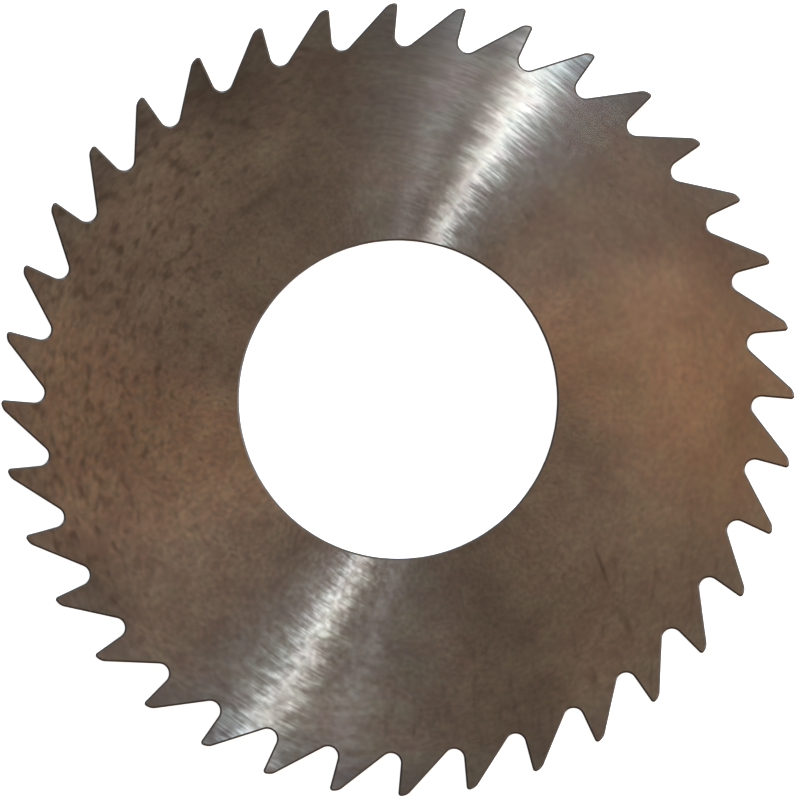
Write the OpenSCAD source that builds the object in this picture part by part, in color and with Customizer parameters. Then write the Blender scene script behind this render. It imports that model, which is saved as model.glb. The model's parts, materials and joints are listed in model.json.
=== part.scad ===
// Plain slitting saw: one thin disc of hardened steel with a plain arbor bore, hooked teeth
// all round its rim, and sides ground hollow so that only the teeth rub in the cut.
// It lies flat, in millimetres, with its axis along +Z. One tooth tip points along +Y, and
// the teeth cut clockwise seen from above.

/* [Blank] */
// Diameter over the tooth tips
outside_d = 63.5; // [52:0.5:90]
// Thickness at the tooth tips, which is the width of the slot that the saw cuts
thickness = 1.6; // [0.8:0.1:4]
// Diameter of the flat land on each side that the arbor's flanges clamp
hub_d = 36; // [30:0.5:46]
// Angle at which each side falls in from the tooth tips to the flat land
side_clearance = 0.15; // [0.05:0.05:0.5]

/* [Bore] */
// Diameter of the arbor bore
bore_d = 25.4; // [16:0.1:32]
// Width of the chamfer that breaks each edge of the bore
bore_chamfer = 0.15; // [0.05:0.05:0.3]

/* [Teeth] */
// Number of teeth
tooth_count = 36; // [24:1:48]
// Depth of the gullets below the tooth tips
tooth_depth = 3.5; // [2.4:0.1:4.4]
// Radius at the bottom of each gullet
gullet_r = 0.8; // [0.4:0.05:1.2]
// Rake angle, by which the cutting face leans back from a radius
rake = 5; // [0:0.5:12]
// Width of the relieved land behind each cutting edge
land_w = 0.8; // [0.4:0.05:1.3]
// Relief angle, by which the land falls away behind the cutting edge
relief = 12; // [6:0.5:20]
// Radius that rounds each heel, where the land runs over into the tooth's back
heel_r = 1; // [0.4:0.1:1.4]

/* [Hidden] */
$fn = 96;

tip_r = outside_d / 2;
root_r = tip_r - tooth_depth;
hub_r = hub_d / 2;
bore_r = bore_d / 2;
pitch = 360 / tooth_count;

// The turned blank stands past the tips by a land's fall, and grinding the lands takes that off
blank_r = tip_r + land_w * sin(relief);

// How far a cutter runs out past the steel that it cuts
runout = 2;
// How far the straight flanks of a tooth pass inside its round gullet and heel, so that they cross them
flank_lap = 0.002;
flank_r = gullet_r - flank_lap;

// How far each side has fallen in from the tip plane at a given radius
function side_fall(r) = (tip_r - r) * tan(side_clearance);

// A point turned clockwise about the axis, seen from above
function clockwise(p, angle) = [
    p.x * cos(angle) + p.y * sin(angle),
    p.y * cos(angle) - p.x * sin(angle)
];

// The tooth with its tip on +Y: the face runs inwards from the tip and the land runs back to the heel
tip = [0, tip_r];
face_dir = [-sin(rake), -cos(rake)];
face_normal = [cos(rake), -sin(rake)];
land_dir = [-cos(relief), -sin(relief)];
land_normal = [-sin(relief), cos(relief)];
heel = tip + land_w * land_dir;

// The gullet in front of that tooth: its round bottom touches the face and the root circle
gullet_pitch_r = root_r + gullet_r;
axis_offset = tip_r * sin(rake) - flank_r;
face_length = tip_r * cos(rake) - sqrt(gullet_pitch_r * gullet_pitch_r - axis_offset * axis_offset);
face_foot = tip + face_length * face_dir;
gullet_c = face_foot + flank_r * face_normal;

// The next tooth's back: the line from its heel that touches the same round bottom
next_heel = clockwise(heel, pitch);
heel_sight = next_heel - gullet_c;
back_foot_angle = atan2(heel_sight.y, heel_sight.x) - acos(flank_r / norm(heel_sight));
back_foot = gullet_c + flank_r * [cos(back_foot_angle), sin(back_foot_angle)];
back_dir = (next_heel - back_foot) / norm(next_heel - back_foot);

// That tooth's round heel touches its land and its back, and the corner outside it is cut away
next_land_normal = clockwise(land_normal, pitch);
back_normal = [-back_dir.y, back_dir.x];
heel_corner = (next_land_normal + back_normal) / (1 + next_land_normal * back_normal);
heel_c = next_heel - (heel_r - flank_lap) * heel_corner;
heel_reach = heel_r + runout;

// The turned disc with its sides ground hollow, before any teeth are cut
module blank() {
    lower_side = [
        [bore_r, side_fall(hub_r) + bore_chamfer],
        [bore_r + bore_chamfer, side_fall(hub_r)],
        [hub_r, side_fall(hub_r)],
        [blank_r, side_fall(blank_r)]
    ];
    upper_side = [for (i = [len(lower_side) - 1:-1:0]) [lower_side[i].x, thickness - lower_side[i].y]];
    rotate_extrude()
        polygon(concat(lower_side, upper_side));
}

// Cuts an outline right through the disc at every tooth
module at_every_tooth() {
    for (i = [0:tooth_count - 1])
        rotate(-i * pitch)
            translate([0, 0, -runout])
                linear_extrude(thickness + 2 * runout)
                    children();
}

// One gash: the cutting face of a tooth, the round gullet, and the back of the next tooth
module gash() {
    polygon([
        tip - runout * face_dir,
        face_foot,
        back_foot,
        next_heel + runout * back_dir
    ]);
    translate(gullet_c)
        circle(gullet_r);
}

// The sliver that grinding takes off the top of a tooth to leave its land
module land_relief() {
    polygon([
        tip - runout * land_dir,
        heel + runout * land_dir,
        heel + runout * (land_dir + land_normal),
        tip - runout * (land_dir - land_normal)
    ]);
}

// The sharp corner that is taken off a heel to leave it round
module heel_round() {
    difference() {
        polygon([
            heel_c,
            heel_c + heel_reach * next_land_normal,
            heel_c + heel_reach * heel_corner,
            heel_c + heel_reach * back_normal
        ]);
        translate(heel_c)
            circle(heel_r);
    }
}

module saw_blade() {
    color("#7d6a57")
        difference() {
            difference() {
                blank();
                at_every_tooth()
                    gash();
            }
            at_every_tooth()
                land_relief();
            at_every_tooth()
                heel_round();
        }
}

saw_blade();
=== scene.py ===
import json
import math

import bpy
import numpy as np
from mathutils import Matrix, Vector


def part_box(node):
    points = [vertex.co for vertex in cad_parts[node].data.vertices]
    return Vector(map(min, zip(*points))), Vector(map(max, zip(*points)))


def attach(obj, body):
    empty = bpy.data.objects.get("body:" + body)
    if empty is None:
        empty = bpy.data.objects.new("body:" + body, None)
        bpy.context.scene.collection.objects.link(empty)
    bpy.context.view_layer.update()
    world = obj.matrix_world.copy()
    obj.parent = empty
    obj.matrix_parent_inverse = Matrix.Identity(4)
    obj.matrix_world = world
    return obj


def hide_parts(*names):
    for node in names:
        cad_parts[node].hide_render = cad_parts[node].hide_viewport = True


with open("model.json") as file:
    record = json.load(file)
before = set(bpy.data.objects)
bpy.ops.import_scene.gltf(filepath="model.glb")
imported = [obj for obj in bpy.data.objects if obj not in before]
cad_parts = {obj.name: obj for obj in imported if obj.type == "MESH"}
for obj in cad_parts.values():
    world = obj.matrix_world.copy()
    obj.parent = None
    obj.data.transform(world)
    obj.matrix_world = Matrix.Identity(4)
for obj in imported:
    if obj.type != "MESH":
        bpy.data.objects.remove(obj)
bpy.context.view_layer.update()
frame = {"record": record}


# The saw blade: one disc of hardened tool steel with its teeth gashed into the rim, a plain
# arbor bore, and both sides ground hollow from the tips down to a flat land round the bore.
# Nothing is fitted to it. Sizes are in millimetres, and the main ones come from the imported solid.
MM = 0.001
low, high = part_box("saw_blade")
mounts = {mount["name"]: mount for mount in frame["record"]["mounts"]}
tip_r = (high.x - low.x) / 2 / MM
thickness = (high.z - low.z) / MM
bore_r = mounts["arbor_bore"]["dims"]["r_mm"]
bore_wall = mounts["arbor_bore"]["dims"]["length_mm"]
hub_fall = mounts["lower_flange_face"]["pos_m"][2] / MM
hub_r = 18.0
bore_chamfer = (thickness - bore_wall) / 2 - hub_fall

tooth_count = 36
tooth_depth = 3.5
gullet_r = 0.8
rake = math.radians(5)
land_w = 0.8
relief = math.radians(12)
heel_r = 1.0
pitch = 2 * math.pi / tooth_count
root_r = tip_r - tooth_depth

# Use has dulled every corner a little
tip_round = 0.25
edge_break = 0.15

# How the mesh is divided: a narrow strip beside each broken edge, the points round each corner, the
# circle just inside the gullets, and the angle past which two faces meet in a sharp edge
edge_margin = 0.02
corner_steps = 12
web_r = root_r - 0.9
crease = math.radians(35)


def unit(vectors):
    """Each vector divided by its own length."""
    return vectors / np.linalg.norm(vectors, axis=-1, keepdims=True)


def clockwise(point, angles):
    """A point turned about the axis: x' = x cos a + y sin a and y' = y cos a - x sin a."""
    x, y = point
    cosine = np.cos(angles)
    sine = np.sin(angles)
    return np.stack([x * cosine + y * sine, y * cosine - x * sine], -1)


def rounded_outline(corners, radii, steps):
    """A closed clockwise outline with every corner rounded, and its outward normals.

    With h half the angle between the corner's two sides, the arc's centre lies r / sin h from the
    corner along the bisector, and the arc sweeps from one side's normal to the other's.
    """
    to_last = unit(np.roll(corners, 1, axis=0) - corners)
    to_next = unit(np.roll(corners, -1, axis=0) - corners)
    bisector = unit(to_last + to_next)
    half = np.arccos(np.sum(to_last * bisector, axis=1))[:, None]
    radii = radii[:, None]
    centres = corners + bisector * radii / np.sin(half)
    start = (corners + to_last * radii / np.tan(half) - centres) / radii
    end = (corners + to_next * radii / np.tan(half) - centres) / radii
    sweep = (math.pi - 2 * half)[:, None]
    share = np.linspace(0, 1, steps)[None, :, None]
    arcs = np.sin((1 - share) * sweep) * start[:, None] + np.sin(share * sweep) * end[:, None]
    arcs = arcs / np.sin(sweep)
    turn = to_last[:, 0] * to_next[:, 1] - to_last[:, 1] * to_next[:, 0]
    outward = np.where(turn > 0, 1, -1)[:, None, None]
    points = centres[:, None] + arcs * radii[:, None]
    return points.reshape(-1, 2), (arcs * outward).reshape(-1, 2)


def tooth_corners():
    """The sharp corners of every tooth, clockwise: tip, bottom of the gullet, heel of the next tooth.

    The gullet's circle touches the cutting face and the root circle, and the next tooth's back is
    the line from its heel that touches the same circle.
    """
    tip = np.array([0, tip_r])
    face = np.array([-math.sin(rake), -math.cos(rake)])
    face_normal = np.array([math.cos(rake), -math.sin(rake)])
    heel = tip - land_w * np.array([math.cos(relief), math.sin(relief)])
    next_heel = clockwise(heel, np.array(pitch))
    side_step = tip_r * math.sin(rake) - gullet_r
    face_length = tip_r * math.cos(rake) - math.sqrt((root_r + gullet_r) ** 2 - side_step ** 2)
    face_foot = tip + face_length * face
    gullet_centre = face_foot + gullet_r * face_normal
    sight = next_heel - gullet_centre
    foot_angle = math.atan2(sight[1], sight[0]) - math.acos(gullet_r / np.linalg.norm(sight))
    back_foot = gullet_centre + gullet_r * np.array([math.cos(foot_angle), math.sin(foot_angle)])
    back = unit(next_heel - back_foot)
    half = math.acos(-face @ back) / 2
    gullet = face_foot + face * gullet_r / math.tan(half)
    angles = np.arange(tooth_count) * pitch
    turned = [clockwise(corner, angles) for corner in (tip, gullet, next_heel)]
    return np.stack(turned, 1).reshape(-1, 2)


def side_fall(radius):
    """How far a side lies below the tips' plane: a cone from the tips to the hub, then flat."""
    slope = hub_fall / (tip_r - hub_r)
    return np.minimum((tip_r - radius) * slope, hub_fall)


def saw_surface():
    """Grid of points: columns run clockwise along the tooth outline, rows run round the section.

    The rows go from the bore wall over the upper side and the broken rim edge, and back along the
    mirrored lower side. Inside the teeth a row is a circle: its points lie straight inwards of those
    round a gullet, and between two gullets they are shared out by the outline's length.
    """
    corners = tooth_corners()
    radii = np.tile([tip_round, gullet_r, heel_r], tooth_count)
    outline, normals = rounded_outline(corners, radii, corner_steps)
    insets = np.array([edge_break + edge_margin, edge_break, 0, 0])
    edge_drop = np.array([0, 0, edge_break, edge_break + edge_margin])
    edges = outline[None] - insets[:, None, None] * normals[None]

    length = np.concatenate([[0], np.cumsum(np.linalg.norm(np.diff(outline, axis=0), axis=1))])
    closed = length[-1] + np.linalg.norm(outline[0] - outline[-1])
    even = 2 * math.pi * length / closed
    lead = np.arctan2(edges[0, :, 0], edges[0, :, 1]) - even
    lead = (lead + math.pi) % (2 * math.pi) - math.pi
    gullets = np.arange(len(outline)) // corner_steps % 3 == 1
    angles = even + np.interp(length, length[gullets], lead[gullets], period=closed)
    spokes = np.stack([np.sin(angles), np.cos(angles)], -1)
    circles = np.array([bore_r, bore_r + bore_chamfer, hub_r, web_r])
    circle_drop = np.array([bore_chamfer, 0, 0, 0])
    rings = circles[:, None, None] * spokes[None]

    plan = np.concatenate([rings, edges])
    drop = np.concatenate([circle_drop, edge_drop])[:, None]
    height = thickness - side_fall(np.linalg.norm(plan, axis=-1)) - drop
    upper = np.concatenate([plan, height[..., None]], -1)
    lower = np.concatenate([plan, thickness - height[..., None]], -1)[::-1]
    return np.concatenate([upper, lower]) * MM


def ring_mesh(name, points, edge_rows):
    """A mesh of quads over a grid that closes on itself both ways, faces outwards.

    The quads of the edge rows are marked 1 in the attribute "edge", and all others 0.
    """
    rows, columns = points.shape[:2]
    row, column = np.meshgrid(np.arange(rows), np.arange(columns), indexing="ij")
    next_row = (row + 1) % rows
    next_column = (column + 1) % columns
    quads = np.stack([
        row * columns + column,
        row * columns + next_column,
        next_row * columns + next_column,
        next_row * columns + column,
    ], -1).reshape(-1, 4)
    mesh = bpy.data.meshes.new(name)
    mesh.from_pydata(points.reshape(-1, 3), [], quads)
    mesh.polygons.foreach_set("use_smooth", np.ones(len(quads), dtype=bool))
    mesh.set_sharp_from_angle(angle=crease)
    mark = mesh.attributes.new("edge", "FLOAT", "FACE")
    mark.data.foreach_set("value", np.isin(row.ravel(), edge_rows).astype(np.float32))
    return mesh


def linear(colour):
    """An sRGB hex colour as linear red, green, blue and alpha.

    A value v is divided by 12.92 near black, and is ((v + 0.055) / 1.055) to the power 2.4 above that.
    """
    values = np.array([int(colour[i:i + 2], 16) for i in (1, 3, 5)]) / 255
    values = np.where(values <= 0.04045, values / 12.92, ((values + 0.055) / 1.055) ** 2.4)
    return (*values.tolist(), 1.0)


def add(tree, kind, sockets, **settings):
    """Adds one shader node: settings are its properties, and each socket gets a value or a link."""
    node = tree.nodes.new("ShaderNode" + kind)
    for name, value in settings.items():
        setattr(node, name, value)
    for name, value in sockets.items():
        if isinstance(value, bpy.types.Node):
            value = next(output for output in value.outputs if output.enabled)
        if isinstance(value, bpy.types.NodeSocket):
            tree.links.new(value, node.inputs[name])
        else:
            node.inputs[name].default_value = value
    return node


def toward(azimuth):
    """The direction (sin a, cos a, 0), which lies a degrees clockwise from +Y in the saw's plane."""
    angle = math.radians(azimuth)
    return (math.sin(angle), math.cos(angle), 0.0)


# Ground tool steel: the wheel left fine scratches that wind inwards, 6 mm for each radian, so a
# lamp spreads across them into a bright band. Handling has left a thin brown film, redder and
# greener in patches, with small dark stains, and cutting has worn the teeth greyer.
lay_feed = 6.0
film_red = linear("#c0afa0")
film_green = linear("#bbb19f")
stain = linear("#837568")
clear = linear("#ffffff")
cutting_wear = linear("#eef7ff")
# Painted shade for the broken edges and the walls
painted_edge_shade = linear("#534a3f")

steel = bpy.data.materials.new("ground_tool_steel")
steel.use_nodes = True
tree = steel.node_tree
tree.nodes.clear()
place = add(tree, "TexCoord", {}).outputs["Object"]
place = add(tree, "VectorMath", {0: place, "Scale": 1 / MM}, operation="SCALE")
flat = add(tree, "VectorMath", {0: place, 1: (1, 1, 0)}, operation="MULTIPLY")
radius = add(tree, "VectorMath", {0: flat}, operation="LENGTH")
outward = add(tree, "VectorMath", {0: flat}, operation="NORMALIZE")
sideways = add(tree, "VectorMath", {0: outward, 1: (0, 0, 1)}, operation="CROSS_PRODUCT")
lay_lean = add(tree, "VectorMath", {0: sideways, "Scale": lay_feed}, operation="SCALE")
across_lay = add(tree, "VectorMath", {0: flat, 1: lay_lean}, operation="ADD")

# Marks along the lay, by width and length in millimetres: the spiral's angle runs across them, and
# the radius runs along them, rising about 1 mm for each 3.4 mm of scratch. A real hairline is finer
# than a pixel, so they are drawn coarser to show.
lay_slope = 3.4
winding = add(tree, "Math", {0: radius, 1: -1 / lay_feed}, operation="MULTIPLY")
across = add(tree, "VectorRotate", {"Vector": outward, "Angle": winding}, rotation_type="Z_AXIS")
marks = {}
for name, width, length in (("hairlines", 0.22, 1.4), ("passes", 0.8, 4.0)):
    along = add(tree, "Math", {0: radius, 1: lay_slope / length}, operation="MULTIPLY")
    along = add(tree, "CombineXYZ", {"Z": along})
    stretch = (lay_feed / width,) * 3
    lines = add(tree, "VectorMath", {0: across, 1: stretch, 2: along}, operation="MULTIPLY_ADD")
    marks[name] = add(tree, "TexNoise", {"Vector": lines, "Scale": 1.0, "Detail": 1.0})

# Mottling, drawn out round the axis by its width and length in millimetres halfway out: grain,
# soft stains, scuffs, patches of film and wide clouds
mottle_r = 22.0
mottle = {}
for name, width, length in (
    ("grain", 0.4, 0.5),
    ("stains", 0.7, 1.1),
    ("scuffs", 0.6, 0.7),
    ("patches", 1.6, 2.6),
    ("clouds", 6.0, 7.0),
):
    rings = add(tree, "Math", {0: radius, 1: 1 / width}, operation="MULTIPLY")
    rings = add(tree, "CombineXYZ", {"Z": rings})
    stretch = (mottle_r / length,) * 3
    cells = add(tree, "VectorMath", {0: outward, 1: stretch, 2: rings}, operation="MULTIPLY_ADD")
    mottle[name] = add(tree, "TexNoise", {"Vector": cells, "Scale": 1.0, "Detail": 1.0})

# How rough it is: the arbor's flanges and handling have rubbed the lay smoother on the hub and the
# lower half. Scuffs swing that both ways from the middle of their noise.
polished = 0.215
ground = 0.25
rub_fade = 5.0
noise_middle = 0.5
past_hub = add(tree, "MapRange", {"Value": radius, "From Min": hub_r, "From Max": hub_r + rub_fade})
upward = add(tree, "VectorMath", {0: flat, 1: toward(27)}, operation="DOT_PRODUCT")
upper = add(tree, "MapRange", {"Value": upward, "From Min": -rub_fade, "From Max": rub_fade})
fresh = add(tree, "Math", {0: past_hub, 1: upper}, operation="MULTIPLY")
smooth = add(tree, "MapRange", {"Value": fresh, "To Min": polished, "To Max": ground})
scuff_depth = add(tree, "MapRange", {"Value": upper, "To Min": 0.12, "To Max": 0.05})
scuff = add(tree, "Math", {0: mottle["scuffs"], 1: noise_middle}, operation="SUBTRACT")
roughness = add(tree, "Math", {0: scuff, 1: scuff_depth, 2: smooth}, operation="MULTIPLY_ADD")

# The wheel cut its hairlines deepest on the way in and out, which it took along one line
streak_depth = 0.03
entry = add(tree, "VectorMath", {0: outward, 1: toward(9)}, operation="DOT_PRODUCT")
cut = add(tree, "Math", {0: entry, 1: 4.0}, operation="POWER")
streak_swing = add(tree, "Math", {0: cut, 1: streak_depth}, operation="MULTIPLY")
streak = add(tree, "Math", {0: marks["hairlines"], 1: noise_middle}, operation="SUBTRACT")
roughness = add(tree, "Math", {0: streak, 1: streak_swing, 2: roughness}, operation="MULTIPLY_ADD")

# The scratches don't run quite true: the wheel's path was a little oval, so they swing off the
# spiral and back twice in a turn, by so many radians. Near that line each pass and hairline also
# leans its own way, by so many degrees.
lay_swing = 0.15
forth = add(tree, "VectorMath", {0: outward, 1: toward(20)}, operation="DOT_PRODUCT")
aside = add(tree, "VectorMath", {0: outward, 1: toward(110)}, operation="DOT_PRODUCT")
turn = add(tree, "Math", {0: forth, 1: aside}, operation="MULTIPLY")
turn = add(tree, "Math", {0: turn, 1: -2 * lay_swing}, operation="MULTIPLY")
for name, lean in (("hairlines", 9.0), ("passes", 6.0)):
    swing = add(tree, "Math", {0: marks[name], 1: noise_middle}, operation="SUBTRACT")
    swing = add(tree, "Math", {0: swing, 1: math.radians(lean)}, operation="MULTIPLY")
    turn = add(tree, "Math", {0: swing, 1: cut, 2: turn}, operation="MULTIPLY_ADD")
tangent = add(tree, "VectorRotate", {"Vector": across_lay, "Angle": turn}, rotation_type="Z_AXIS")

# The film's colour, shaded by clouds, by grain and patches, which are fainter on the less handled
# upper right, and by the hairlines where the wheel came in
mix = add(tree, "MapRange", {"Value": mottle["patches"], "From Min": 0.35, "From Max": 0.65})
film_and_painted_light = add(tree, "Mix", {"Factor": mix, "A": film_red, "B": film_green}, data_type="RGBA")
lowward = add(tree, "VectorMath", {0: flat, 1: toward(240)}, operation="DOT_PRODUCT")
handled = add(tree, "MapRange", {
    "Value": lowward, "From Min": -20.0, "From Max": -4.0, "To Min": 0.6, "To Max": 1.0,
})
streaked = add(tree, "MapRange", {"Value": entry, "From Min": 0.93, "From Max": 1.0})
for pattern, depth, share in (
    (mottle["grain"], 0.55, handled),
    (mottle["patches"], 0.4, handled),
    (mottle["clouds"], 0.7, 1.0),
    (marks["hairlines"], 0.5, streaked),
):
    shade = add(tree, "Math", {0: pattern, 1: noise_middle}, operation="SUBTRACT")
    shade = add(tree, "Math", {0: shade, 1: depth}, operation="MULTIPLY")
    shade = add(tree, "Math", {0: shade, 1: share, 2: 1.0}, operation="MULTIPLY_ADD")
    film_and_painted_light = add(tree, "VectorMath", {0: film_and_painted_light, "Scale": shade}, operation="SCALE")

# Painted light and shade: soft lighter and darker patches in the film's colour that stand in for the
# room's uneven reflection across the steel. Place and reach in millimetres, and the share by which it
# is lighter
for x, y, reach, depth in (
    (13.0, 8.0, 8.0, 0.16),
    (20.0, 0.0, 9.0, 0.16),
    (22.0, 15.0, 8.0, -0.14),
    (28.5, 10.0, 8.0, -0.32),
    (18.5, -19.0, 5.0, -0.20),
    (13.5, -16.0, 6.0, -0.14),
    (7.0, -19.0, 5.0, -0.12),
    (2.5, -15.5, 5.0, -0.18),
    (1.0, -26.0, 6.0, 0.12),
    (-5.0, -15.0, 5.0, 0.20),
    (-5.5, -25.5, 3.5, 0.20),
    (-13.0, -7.0, 6.0, 0.14),
    (-19.0, -20.0, 6.0, 0.14),
    (-25.0, -12.5, 8.0, -0.28),
    (-19.0, 3.0, 8.0, -0.12),
    (-24.0, 13.0, 5.0, 0.16),
    (-17.0, 17.0, 6.0, 0.14),
    (-15.0, 10.5, 4.5, -0.14),
    (-14.0, 26.0, 7.0, -0.32),
    (1.0, 18.0, 5.0, 0.22),
    (8.0, 14.0, 4.5, 0.14),
):
    away = add(tree, "VectorMath", {0: flat, 1: (x, y, 0)}, operation="DISTANCE")
    painted_light_patch = add(tree, "MapRange", {
        "Value": away, "From Min": 0.0, "From Max": reach, "To Min": 1 + depth, "To Max": 1.0,
    }, interpolation_type="SMOOTHSTEP")
    film_and_painted_light = add(tree, "VectorMath", {0: film_and_painted_light, "Scale": painted_light_patch}, operation="SCALE")

# Cutting has worn some of the film off the teeth
worn = add(tree, "MapRange", {"Value": radius, "From Min": root_r - 1.0, "From Max": root_r + 2.0})
wear = add(tree, "Mix", {"Factor": worn, "A": clear, "B": cutting_wear}, data_type="RGBA")
film_and_painted_light = add(tree, "VectorMath", {0: film_and_painted_light, 1: wear}, operation="MULTIPLY")

# Small dark stains, thick on the left, where a lower point of their noise starts one
stain_ramp = 0.26
leftward = add(tree, "VectorMath", {0: flat, 1: toward(288)}, operation="DOT_PRODUCT")
left = add(tree, "MapRange", {
    "Value": leftward, "From Min": 8.0, "From Max": 21.0, "To Min": 0.7, "To Max": 0.5,
})
left_full = add(tree, "Math", {0: left, 1: stain_ramp}, operation="ADD")
spots = add(tree, "MapRange", {
    "Value": mottle["stains"], "From Min": left, "From Max": left_full, "To Max": 0.75,
})
film_and_painted_light = add(tree, "Mix", {"Factor": spots, "A": film_and_painted_light, "B": stain}, data_type="RGBA")

# Thin dark scratches across the lay, low on the right, in the same way
scratch_width = 0.8
scratch_length = 3.0
scratch_ramp = 0.16
scratch_shrink = (1 / scratch_width, 1 / scratch_length, 0)
scratch_cells = add(tree, "VectorMath", {0: flat, 1: scratch_shrink}, operation="MULTIPLY")
scratches = add(tree, "TexNoise", {"Vector": scratch_cells, "Scale": 1.0, "Detail": 1.0})
rightward = add(tree, "VectorMath", {0: flat, 1: toward(146.5)}, operation="DOT_PRODUCT")
right = add(tree, "MapRange", {
    "Value": rightward, "From Min": 8.0, "From Max": 22.0, "To Min": 0.85, "To Max": 0.6,
})
right_full = add(tree, "Math", {0: right, 1: scratch_ramp}, operation="ADD")
cuts = add(tree, "MapRange", {
    "Value": scratches, "From Min": right, "From Max": right_full, "To Max": 0.35,
})
film_and_painted_light = add(tree, "Mix", {"Factor": cuts, "A": film_and_painted_light, "B": stain}, data_type="RGBA")

# Marks that stand out: two longer scratches there, and a smear up on the left. Each has its place,
# the degrees that it leans clockwise from +Y, its half width, half length and share of stain.
mark_fade = 1.3
for x, y, lean, half_width, half_length, depth in (
    (16.3, -13.4, -20.0, 0.22, 2.0, 0.75),
    (18.3, -18.0, -17.0, 0.4, 1.6, 0.45),
    (-10.9, 16.0, 57.0, 0.6, 2.8, 0.45),
):
    offset = add(tree, "VectorMath", {0: flat, 1: (x, y, 0)}, operation="SUBTRACT")
    angle = math.radians(lean)
    offset = add(tree, "VectorRotate", {"Vector": offset, "Angle": angle}, rotation_type="Z_AXIS")
    shrink = (1 / half_width, 1 / half_length, 0)
    offset = add(tree, "VectorMath", {0: offset, 1: shrink}, operation="MULTIPLY")
    away = add(tree, "VectorMath", {0: offset}, operation="LENGTH")
    mark = add(tree, "MapRange", {
        "Value": away, "From Min": 0.0, "From Max": mark_fade, "To Min": depth, "To Max": 0.0,
    }, interpolation_type="SMOOTHSTEP")
    film_and_painted_light = add(tree, "Mix", {"Factor": mark, "A": film_and_painted_light, "B": stain}, data_type="RGBA")

# The hairlines are scratched in, less than a micrometre deep
hairline_depth = 0.0002
bump = add(tree, "Bump", {
    "Height": marks["hairlines"], "Strength": 1.0, "Distance": hairline_depth * MM,
})

# Painted shade: the broken edges and the walls get a dark, dull colour that isn't metal, as dark as
# they look when they face away from the lamps, so that the lamps don't glint along them
dull = 0.6
edge = add(tree, "Attribute", {}, attribute_name="edge").outputs["Fac"]
film_and_painted_light = add(tree, "Mix", {"Factor": edge, "A": film_and_painted_light, "B": painted_edge_shade}, data_type="RGBA")
roughness = add(tree, "Mix", {"Factor": edge, "A": roughness, "B": dull}, data_type="FLOAT")
bare = add(tree, "Math", {0: 1.0, 1: edge}, operation="SUBTRACT")

shader = add(tree, "BsdfPrincipled", {
    "Base Color": film_and_painted_light,
    "Metallic": bare,
    "Roughness": roughness,
    "Anisotropic": 1.0,
    "Tangent": tangent,
    "Normal": bump,
})
add(tree, "OutputMaterial", {"Surface": shader})

# Rows of faces, counted from the bore's upper chamfer over the rim and back along the lower side:
# the bore's chamfers and wall, and the broken rim edges with the tooth flanks between them
bore_rows = [14, 15, 0]
rim_rows = [5, 6, 7, 8, 9]
blade_mesh = ring_mesh("ground_saw_blade", saw_surface(), bore_rows + rim_rows)
saw_blade = bpy.data.objects.new("ground_saw_blade", blade_mesh)
bpy.context.scene.collection.objects.link(saw_blade)
blade_mesh.materials.append(steel)
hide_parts("saw_blade")
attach(saw_blade, "root")


# The floor: a light table with a pale sheet of matt opal plastic, evenly lit from below, so that
# the thin saw shows as a clean outline with hardly any shadow. Its size is in metres.
floor_half = 2.0
floor_mesh = bpy.data.meshes.new("floor")
floor_corners = np.array([[-1, -1, 0], [1, -1, 0], [1, 1, 0], [-1, 1, 0]]) * floor_half
floor_mesh.from_pydata(floor_corners, [], [(0, 1, 2, 3)])
floor = bpy.data.objects.new("floor", floor_mesh)
bpy.context.scene.collection.objects.link(floor)
opal = bpy.data.materials.new("opal_sheet")
opal.use_nodes = True
tree = opal.node_tree
tree.nodes.clear()
shader = add(tree, "BsdfPrincipled", {
    "Base Color": linear("#e8e8e8"),
    "Roughness": 0.8,
    "Emission Color": linear("#ffffff"),
    "Emission Strength": 0.95,
})
add(tree, "OutputMaterial", {"Surface": shader})
floor_mesh.materials.append(opal)
floor.visible_glossy = False


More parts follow.
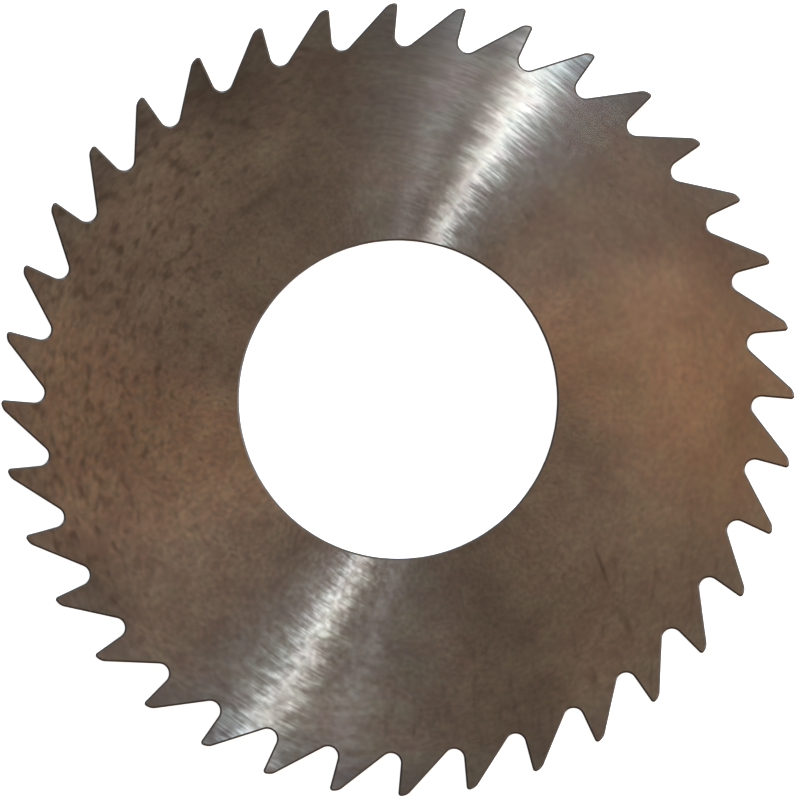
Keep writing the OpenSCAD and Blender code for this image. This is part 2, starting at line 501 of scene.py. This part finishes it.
# The lights: two narrow cool strips that draw the bright band across the lay and a weaker one beside
# it, then two cool panels and three warm ones that shade the film round the saw, under a pale
# ceiling in a dim room.
def softbox(name, azimuth, tilt, distance, width, height, power, colour):
    """A panel that faces the saw: azimuth is clockwise from +Y and tilt is down from straight above.

    Both are in degrees, its distance and size are in metres, and its power is in watts.
    """
    light = bpy.data.lights.new(name, "AREA")
    light.shape = "RECTANGLE"
    light.size = width
    light.size_y = height
    light.energy = power
    light.color = linear(colour)[:3]
    panel = bpy.data.objects.new(name, light)
    azimuth = math.radians(azimuth)
    tilt = math.radians(tilt)
    panel.location = (
        distance * math.sin(tilt) * math.sin(azimuth),
        distance * math.sin(tilt) * math.cos(azimuth),
        distance * math.cos(tilt),
    )
    panel.rotation_euler = (-tilt, 0, -azimuth)
    panel.rotation_mode = "XYZ"
    panel.visible_camera = False
    bpy.context.scene.collection.objects.link(panel)


softbox("key_strip", 35.4, 55, 6.0, 0.05, 1.6, 248.0, "#f4f9ff")
softbox("key_edge_strip", 37.0, 55, 6.0, 0.05, 1.6, 222.0, "#b5dcff")
softbox("side_strip", 19.6, 45, 6.0, 0.08, 1.6, 29.0, "#d2e1ff")
softbox("cool_panel", 46, 40, 6.0, 1.2, 1.6, 24.0, "#b5d5ff")
softbox("sky_panel", 17.5, 40, 6.0, 2.5, 1.6, 23.5, "#95d6ff")
softbox("fill_panel", 78, 40, 1.5, 0.6, 0.6, 1.66, "#ffeced")
softbox("warm_panel", 102, 40, 1.5, 0.6, 0.6, 1.95, "#ffa536")
softbox("near_panel", 110, 40, 0.2, 0.16, 0.16, 0.0354, "#ffd3b0")
softbox("ceiling", 0, 0, 2.0, 5.0, 5.0, 7.4, "#ffdcc0")
world = bpy.data.worlds.new("room")
world.use_nodes = True
bpy.context.scene.world = world
room_light = world.node_tree.nodes["Background"]
room_light.inputs["Color"].default_value = linear("#5d5957")
room_light.inputs["Strength"].default_value = 1.0


# The camera: straight above, with a lens so long that the teeth's flanks hardly show. The saw's
# centre is given in pixels from the picture's upper left corner.
pixels = 800
pixels_per_mm = 12.52
centre_x = 397.95
centre_y = 399.6
camera_data = bpy.data.cameras.new("camera")
camera_data.lens = 1500
camera_data.sensor_width = 36
camera_data.sensor_fit = "HORIZONTAL"
view_distance = camera_data.lens * pixels / camera_data.sensor_width / pixels_per_mm * MM
camera = bpy.data.objects.new("camera", camera_data)
camera.location = (
    (pixels / 2 - centre_x) / pixels_per_mm * MM,
    (centre_y - pixels / 2) / pixels_per_mm * MM,
    high.z + view_distance,
)
bpy.context.scene.collection.objects.link(camera)
bpy.context.scene.camera = camera
bpy.context.scene.view_settings.view_transform = "Standard"
